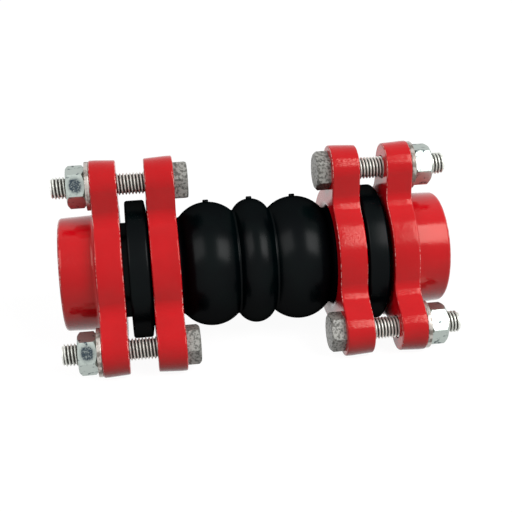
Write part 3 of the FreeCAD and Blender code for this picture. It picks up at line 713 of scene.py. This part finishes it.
def bolt_thread(bm, thread, length):
    """The shank from the head's seat at x = 0 to the tip: a plain neck, then thread to the end."""
    minor, major = thread.bolt_minor / 2, thread.bolt_major / 2
    neck_radius = (minor + major) / 2

    def limits(x):
        out = max(0.0, x - thread.bolt_neck)
        tip = major - max(0.0, x - (length - thread.tip_chamfer))
        return min(max(minor, neck_radius - out), tip), min(neck_radius + out, major, tip)

    profile = [(share, minor + height * (major - minor)) for share, height in BOLT_THREAD]
    screw_surface(bm, profile, thread.bolt_pitch, 0.0, length, THREAD_SEGMENTS, limits)
    shank_ring = add_ring(bm, 0.0, circle(neck_radius, THREAD_SEGMENTS))
    tip_ring = add_ring(bm, length, circle(major - thread.tip_chamfer, THREAD_SEGMENTS))
    bm.faces.new(tip_ring)
    return shank_ring


def make_bolt(side, place, material):
    settings = connector()
    across_flats = settings.fastener.head_across_flats
    outline = hexagon_outline(across_flats, settings.fastener.corner_round)
    bm = marked_mesh()
    face_ring, side_ring = hexagon_end(bm, outline, across_flats, HEAD_END - HEAD_SEAT, 1.0)
    bm.faces.new(face_ring)
    seat_ring = add_ring(bm, 0.0, outline)
    hexagon_sides(bm, side_ring, seat_ring, lambda flat: 0.0)
    shank_ring = bolt_thread(bm, settings.thread, BOLT_TIP - HEAD_SEAT)
    fill_flat(bm, [seat_ring, shank_ring])
    transform = fastener_transform(side, place, HEAD_SEAT, HEAD_TURNS[side][place])
    finish_piece(bm, side, f"{side}_{place}_bolt", "with_thread", transform, material)


def make_nut(side, place, material):
    fastener = connector().fastener
    across_flats, height = fastener.nut_across_flats, NUT_END - NUT_SEAT
    outline = hexagon_outline(across_flats, fastener.corner_round)
    bm = marked_mesh()
    seat_face, seat_side = hexagon_end(bm, outline, across_flats, 0.0, 1.0)
    end_face, end_side = hexagon_end(bm, outline, across_flats, height, -1.0)

    # The painted dark reflection: only on the flats that look forwards and upwards, as strong as
    # NUT_DARK_REFLECTION gives for this end.
    def painted_reflection(flat):
        outwards = math.radians(NUT_TURNS[side][place]) + CORNER_STEP * flat + HALF_FLAT
        forwards = math.cos(outwards) * (1.0 if side == "left" else -1.0)
        return NUT_DARK_REFLECTION[side] if forwards > FRONT_FLAT and math.sin(outwards) > 0.0 else 0.0

    hexagon_sides(bm, seat_side, end_side, painted_reflection)
    bore, mouth = fastener.nut_bore / 2, fastener.nut_mouth
    stations = [(0.0, bore + mouth), (mouth, bore), (height - mouth, bore), (height, bore + mouth)]
    bore_rings = turned(bm, stations, THREAD_SEGMENTS)
    fill_flat(bm, [seat_face, bore_rings[0]])
    fill_flat(bm, [end_face, bore_rings[-1]])
    transform = fastener_transform(side, place, NUT_SEAT, NUT_TURNS[side][place])
    finish_piece(bm, side, f"{side}_{place}_nut", "faced", transform, material)


def make_washer(side, place, material):
    fastener = connector().fastener
    thickness, hole = NUT_SEAT - WASHER_SEAT, fastener.washer_hole / 2
    stations = rounded_rim(0.0, thickness, fastener.washer_diameter / 2, fastener.washer_round)
    stations += [(thickness, hole), (0.0, hole), stations[0]]
    bm = bmesh.new()
    turned(bm, stations, BORE_SEGMENTS)
    transform = fastener_transform(side, place, WASHER_SEAT, 0.0)
    finish_piece(bm, side, f"{side}_{place}_washer", "rounded", transform, material)


def united(bm, addition):
    """The two closed surfaces as one, without the parts of each that lie inside the other."""
    solids = []
    for part in (bm, addition):
        bmesh.ops.remove_doubles(part, verts=part.verts, dist=TOLERANCE)
        bmesh.ops.recalc_face_normals(part, faces=part.faces)
        solids.append(mesh_object(part, "part"))
    union = solids[0].modifiers.new("Union", "BOOLEAN")
    union.operation = "UNION"
    union.object = solids[1]
    joined = bmesh.new()
    joined.from_object(solids[0], bpy.context.evaluated_depsgraph_get())
    for solid in solids:
        bpy.data.meshes.remove(solid.data)
    return joined


def nib(bm, rubber, x, crest_diameter):
    """A mould nib on one crest, from inside the rubber to its rounded top."""
    radius, edge = rubber.nib_diameter / 2, rubber.nib_round
    foot, top = crest_diameter / 2 - rubber.wall / 2, crest_diameter / 2 + rubber.nib_height
    stations = [(foot, radius), *arc((top - edge, radius - edge), edge, math.pi / 2, 0.0, ROUND_STEP)]
    before = len(bm.verts)
    rings = turned(bm, stations, HOLE_SEGMENTS)
    bm.faces.new(rings[0])
    bm.faces.new(rings[-1])
    upright = Matrix.Rotation(-math.pi / 2, 4, "Y")
    lean = Matrix.Rotation(-rubber.nib_lean, 4, "X")
    place = lean @ Matrix.Translation((x, 0.0, 0.0)) @ upright
    bm.verts.ensure_lookup_table()
    bmesh.ops.transform(bm, matrix=place, verts=bm.verts[before:])


def make_rubber_bellows(material):
    """The moulded rubber in two pieces that meet in a crease, so that each bends at one bulge."""
    rubber = connector().rubber
    middle_outside, outside, inside, middle_inside = rubber_outlines(rubber)
    right_loop = outside + inside
    left_loop = middle_outside[::-1] + mirrored(middle_outside)[1:] + mirrored(outside)[1:]
    left_loop += mirrored(inside) + mirrored(middle_inside)[1:] + middle_inside[::-1][1:]
    left_nibs = [(-rubber.bulge_spacing / 2, rubber.bulge_diameter), (0.0, rubber.middle_diameter)]
    right_nibs = [(rubber.bulge_spacing / 2, rubber.bulge_diameter)]
    pieces = [
        ("rubber_left_and_middle", left_loop, left_nibs, ("left_end", "bellows"), -BEND_FAR, -BEND_NEAR),
        ("rubber_right", right_loop, right_nibs, ("bellows", "right_end"), BEND_NEAR, BEND_FAR),
    ]
    for name, loop, nibs, bodies, start_x, end_x in pieces:
        start, end = (start_x, 0.0, 0.0), (end_x, 0.0, 0.0)
        skin, studs = bmesh.new(), bmesh.new()
        turned(skin, loop + loop[:1], RUBBER_SEGMENTS)
        for x, crest_diameter in nibs:
            nib(studs, rubber, x, crest_diameter)
        piece = finish_mesh(united(skin, studs), name, material, Matrix.Identity(4))
        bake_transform(piece, *bodies, start=start, end=end)
        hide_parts("rubber_bellows")


# Shader nodes


def add_node(tree, kind, inputs=None, **settings):
    """A node with its settings, its inputs given as numbers, colours or other nodes' outputs."""
    node = tree.nodes.new(kind)
    for name, setting in settings.items():
        setattr(node, name, setting)
    for name, given in (inputs or {}).items():
        if isinstance(given, bpy.types.NodeSocket):
            tree.links.new(given, node.inputs[name])
        else:
            node.inputs[name].default_value = given
    return node


def emptied(owner):
    """The node tree of a material or world, without the nodes that it starts with."""
    owner.use_nodes = True
    owner.node_tree.nodes.clear()
    return owner.node_tree


def node_group(name, inputs, output):
    """An empty shader node group with number inputs and one output, and its inner ends."""
    group = bpy.data.node_groups.new(name, "ShaderNodeTree")
    for label, default in inputs.items():
        socket = group.interface.new_socket(name=label, in_out="INPUT", socket_type="NodeSocketFloat")
        socket.default_value = default
    group.interface.new_socket(name=output, in_out="OUTPUT", socket_type="NodeSocketFloat")
    return group, add_node(group, "NodeGroupInput").outputs, add_node(group, "NodeGroupOutput").inputs


def object_noise(tree, scale, detail, roughness=0.55):
    place = add_node(tree, "ShaderNodeTexCoord").outputs["Object"]
    inputs = {"Vector": place, "Scale": scale, "Detail": detail, "Roughness": roughness}
    return add_node(tree, "ShaderNodeTexNoise", inputs).outputs["Fac"]


def calculated(tree, operation, first, second):
    return add_node(tree, "ShaderNodeMath", {0: first, 1: second}, operation=operation).outputs[0]


def scaled(tree, factor, low, high):
    """A 0 to 1 mask spread between two values."""
    return add_node(tree, "ShaderNodeMapRange", {"Value": factor, "To Min": low, "To Max": high}).outputs[0]


def blotches_group():
    """Soft patches: Cover is how much of the surface they take."""
    name = "Blotches"
    if name in bpy.data.node_groups:
        return bpy.data.node_groups[name]
    group, given, result = node_group(name, {"Scale": 60.0, "Cover": 0.5, "Softness": 0.1}, "Mask")
    middle = scaled(group, given["Cover"], low=0.68, high=0.32)
    inputs = {
        "Value": object_noise(group, given["Scale"], detail=3.0),
        "From Min": calculated(group, "SUBTRACT", middle, given["Softness"]),
        "From Max": calculated(group, "ADD", middle, given["Softness"]),
    }
    mask = add_node(group, "ShaderNodeMapRange", inputs, interpolation_type="SMOOTHSTEP")
    group.links.new(mask.outputs[0], result["Mask"])
    return group


def grain_group():
    """Fine unevenness as a height from 0 to 1."""
    name = "Fine Grain"
    if name in bpy.data.node_groups:
        return bpy.data.node_groups[name]
    group, given, result = node_group(name, {"Scale": 900.0, "Coarse Share": 0.5}, "Height")
    fine = object_noise(group, given["Scale"], detail=2.0, roughness=0.5)
    coarse_scale = calculated(group, "MULTIPLY", given["Scale"], COARSE_GRAIN)
    coarse = object_noise(group, coarse_scale, detail=2.0)
    height = add_node(group, "ShaderNodeMix", {"Factor": given["Coarse Share"], "A": fine, "B": coarse})
    group.links.new(height.outputs[0], result["Height"])
    return group


def marked(tree, name, low, high):
    """How far a mark of the mesh lies between two values, from 0 to 1."""
    mark_node = add_node(tree, "ShaderNodeAttribute", attribute_name=name)
    inputs = {"Value": mark_node.outputs["Fac"], "From Min": low, "From Max": high}
    return add_node(tree, "ShaderNodeMapRange", inputs).outputs[0]


def worn_and_glinting_arrises_group():
    """Chips along the marked arrises, in stretches, partly wear and partly painted glints: Wear is how much
    of an arris they take.
    """
    name = "Worn Arrises"
    if name in bpy.data.node_groups:
        return bpy.data.node_groups[name]
    group, given, result = node_group(name, {"Scale": 500.0, "Wear": 0.4}, "Mask")
    low = scaled(group, given["Wear"], low=0.72, high=0.32)
    high = calculated(group, "ADD", low, CHIP_AND_GLINT_SOFTNESS)
    chips_and_glints = marked(group, "arris", low=0.02, high=0.35)
    # The first noise makes the chips and painted glints, and the second, at a tenth of its scale, their
    # stretches.
    for share, detail in ((1.0, 5.0), (0.10, 2.0)):
        scale = calculated(group, "MULTIPLY", given["Scale"], share)
        noise = object_noise(group, scale, detail, roughness=0.7)
        inputs = {"Value": noise, "From Min": low, "From Max": high}
        mask = add_node(group, "ShaderNodeMapRange", inputs).outputs[0]
        chips_and_glints = calculated(group, "MULTIPLY", chips_and_glints, mask)
    group.links.new(chips_and_glints, result["Mask"])
    return group


def from_group(tree, group, **inputs):
    """A group placed in a material with its own values. Returns its output."""
    labelled = {name.replace("_", " ").title(): number for name, number in inputs.items()}
    return add_node(tree, "ShaderNodeGroup", labelled, node_tree=group).outputs[0]


def mixed_colour(tree, factor, first, second):
    """The first colour where the factor is 0 and the second where it is 1."""
    node = add_node(tree, "ShaderNodeMix", data_type="RGBA")
    tree.links.new(factor, node.inputs["Factor"])
    for socket, colour in zip(node.inputs[FIRST_COLOUR:], (first, second)):
        if isinstance(colour, bpy.types.NodeSocket):
            tree.links.new(colour, socket)
        else:
            socket.default_value = (*colour, 1.0)
    return node.outputs[MIXED_COLOUR]


def bumped(tree, height, depth, strength):
    inputs = {"Height": height, "Distance": depth, "Strength": strength}
    return add_node(tree, "ShaderNodeBump", inputs).outputs[0]


def new_material(name):
    """An empty material with its own Principled shader. Returns the material, its tree and the shader."""
    material = bpy.data.materials.new(name)
    tree = emptied(material)
    shader = add_node(tree, "ShaderNodeBsdfPrincipled")
    add_node(tree, "ShaderNodeOutputMaterial", {"Surface": shader.outputs[0]})
    return material, tree, shader


def finish_shader(tree, shader, colour, roughness, normal):
    for socket, given in (("Base Color", colour), ("Roughness", roughness), ("Normal", normal)):
        tree.links.new(given, shader.inputs[socket])


def red_enamel():
    """Glossy enamel over a slightly rough casting, with spots along its arrises that are partly bare chips
    and partly painted glints.
    """
    name = "Red enamel"
    if name in bpy.data.materials:
        return bpy.data.materials[name]
    finish = connector().finish
    material, tree, shader = new_material(name)
    shader.inputs["Specular IOR Level"].default_value = 0.45
    shader.inputs["Specular Tint"].default_value = (1.0, 0.60, 0.52, 1.0)
    depth = from_group(tree, blotches_group(), scale=45.0, cover=0.45, softness=0.14)
    # Pale spots along the arrises: partly chips of wear, partly painted glints.
    worn_and_glinting = from_group(tree, worn_and_glinting_arrises_group(), scale=700.0, wear=0.66)
    colour = mixed_colour(tree, depth, finish.enamel, finish.enamel_deep)
    colour = mixed_colour(tree, worn_and_glinting, colour, finish.chip_and_glint)
    dull = from_group(tree, blotches_group(), scale=130.0, cover=0.5, softness=0.16)
    cast = from_group(tree, grain_group(), scale=720.0, coarse_share=0.25)
    normal = bumped(tree, cast, depth=0.12 * MM, strength=0.6)
    finish_shader(tree, shader, colour, scaled(tree, dull, low=0.12, high=0.18), normal)
    return material


def black_rubber():
    """Moulded rubber with a faint bloom and a soft sheen, which fades where it is seen at a slant."""
    name = "Black rubber"
    if name in bpy.data.materials:
        return bpy.data.materials[name]
    finish = connector().finish
    material, tree, shader = new_material(name)
    shader.inputs["Specular IOR Level"].default_value = 0.0
    shader.inputs["Coat Roughness"].default_value = 0.27
    slant = add_node(tree, "ShaderNodeLayerWeight", {"Blend": 0.5}).outputs["Facing"]
    straight = scaled(tree, slant, low=1.0, high=0.0)
    sheen = scaled(tree, calculated(tree, "MULTIPLY", straight, straight), low=0.0, high=0.19)
    tree.links.new(sheen, shader.inputs["Coat Weight"])
    bloom = from_group(tree, blotches_group(), scale=70.0, cover=0.4, softness=0.15)
    colour = mixed_colour(tree, bloom, finish.rubber, finish.bloom)
    dull = from_group(tree, blotches_group(), scale=220.0, cover=0.5, softness=0.2)
    grain = from_group(tree, grain_group(), scale=1500.0, coarse_share=0.4)
    normal = bumped(tree, grain, depth=0.03 * MM, strength=0.5)
    finish_shader(tree, shader, colour, scaled(tree, dull, low=0.20, high=0.25), normal)
    return material


def plated_metal(name, bright, dark_patch_and_reflection, scale, cover, roughness, metallic):
    """Plated steel with duller patches, flats darkened by a painted dark reflection, and bright threads with
    painted shade in their roots.
    """
    if name in bpy.data.materials:
        return bpy.data.materials[name]
    finish = connector().finish
    material, tree, shader = new_material(name)
    patches = from_group(tree, blotches_group(), scale=scale, cover=cover, softness=0.09)
    colour = mixed_colour(tree, patches, bright, dark_patch_and_reflection)
    # A painted dark reflection, in blotches, on the marked middles of the nuts' front flats.
    reflection_blotches = from_group(tree, blotches_group(), scale=4.0 * scale, cover=0.9, softness=0.22)
    painted_reflection = calculated(tree, "MULTIPLY", reflection_blotches, marked(tree, "flat", low=0.02, high=0.5))
    colour = mixed_colour(tree, painted_reflection, colour, dark_patch_and_reflection)
    thread = marked(tree, "thread", low=0.1, high=THREAD_CREST)
    colour = mixed_colour(tree, thread, colour, finish.thread)
    # Painted shade in the roots of the threads, darker the deeper in a root.
    colour = mixed_colour(tree, marked(tree, "thread", low=0.5, high=0.95), colour, finish.thread_root_shade)
    metal = scaled(tree, thread, metallic, max(metallic, THREAD_METALLIC))
    tree.links.new(metal, shader.inputs["Metallic"])
    grain = from_group(tree, grain_group(), scale=1800.0, coarse_share=0.5)
    normal = bumped(tree, grain, depth=0.08 * MM, strength=0.6)
    rough = scaled(tree, patches, roughness, roughness + DULL_ROUGHNESS)
    finish_shader(tree, shader, colour, rough, normal)
    return material


def bolt_steel():
    finish = connector().finish
    return plated_metal("Bolt steel", finish.steel, finish.steel_dark,
                        scale=850.0, cover=0.42, roughness=0.40, metallic=0.25)


def nut_zinc():
    finish = connector().finish
    return plated_metal("Nut zinc", finish.nut, finish.nut_dark_patch_and_reflection,
                        scale=420.0, cover=0.12, roughness=0.40, metallic=1.0)


def washer_zinc():
    finish = connector().finish
    return plated_metal("Washer zinc", finish.washer, finish.washer_dark,
                        scale=320.0, cover=0.45, roughness=0.35, metallic=0.8)


# Stage


def towards(azimuth, elevation):
    """The direction at this azimuth, 0 in front and 90 degrees on the right, and elevation."""
    level = math.cos(elevation)
    return Vector((math.sin(azimuth) * level, -math.cos(azimuth) * level, math.sin(elevation)))


def make_camera(stage):
    back = towards(stage.azimuth, stage.elevation)
    right = Vector((math.cos(stage.azimuth), math.sin(stage.azimuth), 0.0))
    up = back.cross(right)
    place = back * stage.distance + right * stage.aim_right + up * stage.aim_up
    rolled_right = right * math.cos(stage.roll) + up * math.sin(stage.roll)
    rolled_up = up * math.cos(stage.roll) - right * math.sin(stage.roll)
    camera = added("camera", bpy.data.cameras.new("camera"))
    facing = Matrix((rolled_right, rolled_up, back)).transposed().to_4x4()
    camera.matrix_world = Matrix.Translation(place) @ facing
    camera.data.sensor_fit = "HORIZONTAL"
    camera.data.angle = stage.view_angle
    camera.data.clip_start, camera.data.clip_end = CAMERA_NEAR, CAMERA_FAR
    bpy.context.scene.camera = camera


def make_soft_box(name, way, distance, size, power):
    """A lamp of this width and height that faces the object from one direction.

    Its width runs along the pipe, as far as its direction allows, and its height across it.
    """
    lamp = bpy.data.lights.new(name, "AREA")
    lamp.shape = "RECTANGLE"
    lamp.size, lamp.size_y = size
    lamp.energy = power
    soft_box = added(name, lamp)
    along = Vector((1.0, 0.0, 0.0))
    along = (along - way * along.dot(way)).normalized()
    facing = Matrix((along, way.cross(along), way)).transposed().to_4x4()
    soft_box.matrix_world = Matrix.Translation(way * distance) @ facing
    return soft_box


def make_lamps(stage):
    """Two soft boxes in front, and a wide dim panel behind for the side that they don't reach.

    Gloss doesn't show the panel, which would bleach the edges that turn away from the front.
    """
    distance = stage.box_distance
    box_size = (stage.box_width, stage.box_height)
    panel_size = (stage.panel_width, stage.panel_height)
    right = towards(stage.right_box, stage.box_elevation)
    left = towards(stage.left_box, stage.box_elevation)
    behind = towards(math.pi, stage.panel_elevation)
    right_box = make_soft_box("right_soft_box", right, distance, box_size, stage.right_power)
    left_box = make_soft_box("left_soft_box", left, distance, box_size, stage.left_power)
    panel = make_soft_box("back_panel", behind, distance, panel_size, stage.panel_power)
    panel.visible_glossy = False
    return right_box, left_box, panel


def seen_directly(tree):
    """1 for rays from the camera, from gloss and through glass, and 0 for rays of diffuse light."""
    path = add_node(tree, "ShaderNodeLightPath").outputs
    seen = calculated(tree, "MAXIMUM", path["Is Camera Ray"], path["Is Glossy Ray"])
    return calculated(tree, "MAXIMUM", seen, path["Is Transmission Ray"])


def make_surroundings(stage):
    """White to look at, and a plain even light on the object."""
    world = bpy.data.worlds.new("surroundings")
    tree = emptied(world)
    strength = scaled(tree, seen_directly(tree), stage.fill, 1.0)
    light = add_node(tree, "ShaderNodeBackground", {"Color": (1.0, 1.0, 1.0, 1.0), "Strength": strength})
    add_node(tree, "ShaderNodeOutputWorld", {"Surface": light.outputs[0]})
    bpy.context.scene.world = world


def make_floor():
    """A white floor that keeps a faint shadow: most of its white is its own light to the camera."""
    bm = bmesh.new()
    bmesh.ops.create_grid(bm, x_segments=1, y_segments=1, size=FLOOR_REACH)
    floor = mesh_object(bm, "floor")
    floor.location.z = FLOOR_LEVEL
    material = bpy.data.materials.new("White floor")
    tree = emptied(material)
    grey = add_node(tree, "ShaderNodeBsdfDiffuse", {"Color": (FLOOR_GREY, FLOOR_GREY, FLOOR_GREY, 1.0)})
    glow = add_node(tree, "ShaderNodeEmission", {"Color": (1.0, 1.0, 1.0, 1.0), "Strength": FLOOR_GLOW})
    white = add_node(tree, "ShaderNodeAddShader", {0: grey.outputs[0], 1: glow.outputs[0]})
    inputs = {0: seen_directly(tree), 1: grey.outputs[0], 2: white.outputs[0]}
    surface = add_node(tree, "ShaderNodeMixShader", inputs)
    add_node(tree, "ShaderNodeOutputMaterial", {"Surface": surface.outputs[0]})
    floor.data.materials.append(material)
    return floor


# Operators


class AddRubberBellows(bpy.types.Operator):
    """Add the moulded rubber with its three bulges, cuffs and sealing faces."""

    bl_idname = "pipe_connector.add_rubber_bellows"
    bl_label = "Rubber Bellows"

    def execute(self, context):
        make_rubber_bellows(black_rubber())
        return {"FINISHED"}


class AddThreadedFlanges(bpy.types.Operator):
    """Add the two outer castings with their hubs and pipe threads."""

    bl_idname = "pipe_connector.add_threaded_flanges"
    bl_label = "Threaded Flanges"

    def execute(self, context):
        for side in SIDES:
            make_threaded_flange(side, red_enamel())
        return {"FINISHED"}


class AddBackingFlanges(bpy.types.Operator):
    """Add the two loose castings behind the rubber's cuffs."""

    bl_idname = "pipe_connector.add_backing_flanges"
    bl_label = "Backing Flanges"

    def execute(self, context):
        for side in SIDES:
            make_backing_flange(side, red_enamel())
        return {"FINISHED"}


class AddBolts(bpy.types.Operator):
    """Add the six hexagon bolts with their threads."""

    bl_idname = "pipe_connector.add_bolts"
    bl_label = "Bolts"

    def execute(self, context):
        for side, place in FASTENER_PLACES:
            make_bolt(side, place, bolt_steel())
        return {"FINISHED"}


class AddNuts(bpy.types.Operator):
    """Add the six hexagon nuts."""

    bl_idname = "pipe_connector.add_nuts"
    bl_label = "Nuts"

    def execute(self, context):
        for side, place in FASTENER_PLACES:
            make_nut(side, place, nut_zinc())
        return {"FINISHED"}


class AddWashers(bpy.types.Operator):
    """Add the six flat washers under the nuts."""

    bl_idname = "pipe_connector.add_washers"
    bl_label = "Washers"

    def execute(self, context):
        for side, place in FASTENER_PLACES:
            make_washer(side, place, washer_zinc())
        return {"FINISHED"}


class AddStage(bpy.types.Operator):
    """Add the white floor, the surroundings, the lamps and the camera."""

    bl_idname = "pipe_connector.add_stage"
    bl_label = "Stage"

    def execute(self, context):
        stage = connector().stage
        context.scene.view_settings.view_transform = "Standard"
        make_surroundings(stage)
        make_floor()
        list(make_lamps(stage))
        make_camera(stage)
        return {"FINISHED"}


OPERATORS = (
    AddRubberBellows,
    AddThreadedFlanges,
    AddBackingFlanges,
    AddBolts,
    AddNuts,
    AddWashers,
    AddStage,
)


class ConnectorPanel(bpy.types.Panel):
    """The connector's pieces and their sizes and colours."""

    bl_idname = "VIEW3D_PT_pipe_connector"
    bl_label = "Pipe Connector"
    bl_space_type = "VIEW_3D"
    bl_region_type = "UI"
    bl_category = "Pipe Connector"

    def draw(self, context):
        for operator in OPERATORS:
            self.layout.operator(operator.bl_idname)
        settings = context.scene.pipe_connector
        for group in (settings.rubber, settings.flange, settings.thread,
                      settings.fastener, settings.finish, settings.stage):
            box = self.layout.box()
            for name in group.__annotations__:
                box.prop(group, name)


CLASSES = (
    RubberSettings,
    FlangeSettings,
    ThreadSettings,
    FastenerSettings,
    FinishSettings,
    StageSettings,
    ConnectorSettings,
    *OPERATORS,
    ConnectorPanel,
)


def register():
    for item in CLASSES:
        bpy.utils.register_class(item)
    bpy.types.Scene.pipe_connector = PointerProperty(type=ConnectorSettings)


def unregister():
    del bpy.types.Scene.pipe_connector
    for item in reversed(CLASSES):
        bpy.utils.unregister_class(item)


def main():
    register()
    bpy.ops.pipe_connector.add_rubber_bellows()
    bpy.ops.pipe_connector.add_threaded_flanges()
    bpy.ops.pipe_connector.add_backing_flanges()
    bpy.ops.pipe_connector.add_bolts()
    bpy.ops.pipe_connector.add_nuts()
    bpy.ops.pipe_connector.add_washers()
    bpy.ops.pipe_connector.add_stage()


if __name__ == "__main__":
    main()
